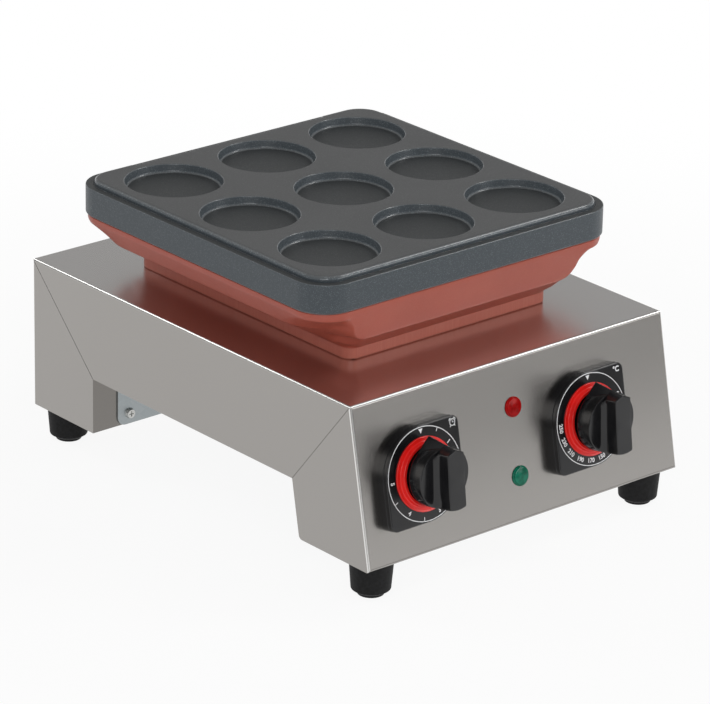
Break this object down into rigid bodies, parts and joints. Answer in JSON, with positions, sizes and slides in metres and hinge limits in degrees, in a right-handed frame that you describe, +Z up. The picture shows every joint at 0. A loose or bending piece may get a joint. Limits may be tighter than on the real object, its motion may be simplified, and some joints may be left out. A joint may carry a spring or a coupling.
{
  "type": "poffertjes maker",
  "caption": "Countertop electric cooker: a cast plate of round shallow cups on a painted casting, over an arched steel body with rubber feet, timer and thermostat knobs.",
  "frame": {"origin": "on the ground below the middle of the overall box, knobs and cable gland included", "axes": "+X to the right seen from the front, +Y from the controls towards the rear, +Z up"},
  "size_m": [0.25, 0.368, 0.1835],
  "materials": {
    "stainless": "brushed stainless sheet",
    "galvanised": "galvanised sheet",
    "fastener": "zinc-plated steel",
    "foot_rubber": "matte black rubber",
    "cast_paint": "terracotta enamel on cast aluminium",
    "non_stick": "dark grey non-stick coating on cast aluminium",
    "heater_steel": "oxidised heater tube",
    "ceramic": "pale ceramic and moulding",
    "insulation": "mineral wool",
    "copper": "bare copper",
    "control_black": "gloss black moulding",
    "dial_red": "gloss red moulding",
    "lens_red": "clear red moulding",
    "lens_green": "clear green moulding",
    "mechanism": "case of a mechanism",
    "lead": "sleeved wire"
  },
  "bodies": {
    "base": {"body_shell": "stainless", "bottom_cover": "galvanised", "cover_screws": "fastener", "foot_front_left": "foot_rubber", "foot_front_right": "foot_rubber", "foot_rear_left": "foot_rubber", "foot_rear_right": "foot_rubber", "foot_screws": "fastener", "foot_nuts": "fastener", "plate_housing": "cast_paint", "cooking_plate": "non_stick", "tie_bolts": "fastener", "tie_washers": "fastener", "heating_element": "heater_steel", "element_beads": "ceramic", "element_pins": "fastener", "element_clamp": "galvanised", "clamp_screws": "fastener", "insulation_pad": "insulation", "thermostat_bulb": "copper", "bulb_clip": "galvanised", "capillary_tube": "copper", "timer_bezel": "control_black", "timer_ring": "dial_red", "timer_body": "mechanism", "timer_screws": "fastener", "thermostat_bezel": "control_black", "thermostat_ring": "dial_red", "thermostat_body": "mechanism", "thermostat_screws": "fastener", "red_lamp_lens": "lens_red", "green_lamp_lens": "lens_green", "red_lamp_body": "ceramic", "green_lamp_body": "ceramic", "lamp_nuts": "fastener", "terminal_block": "ceramic", "terminal_screws": "fastener", "earth_stud": "fastener", "earth_nuts": "fastener", "cable_gland": "control_black", "gland_nut": "control_black", "element_leads": "lead", "supply_leads": "lead", "lamp_leads": "lead"},
    "timer": {"timer_knob": "control_black", "timer_shaft": "fastener"},
    "thermostat": {"thermostat_knob": "control_black", "thermostat_shaft": "fastener"}
  },
  "joints": [
    {"name": "timer_turn", "type": "hinge", "parent": "base", "child": "timer", "pos_m": [-0.0816, -0.14586, 0.07228], "axis": [0, 0.98, -0.199], "range_deg": [0, 270]},
    {"name": "thermostat_turn", "type": "hinge", "parent": "base", "child": "thermostat", "pos_m": [0.0518, -0.14586, 0.07228], "axis": [0, 0.98, -0.199], "range_deg": [0, 270]}
  ]
}
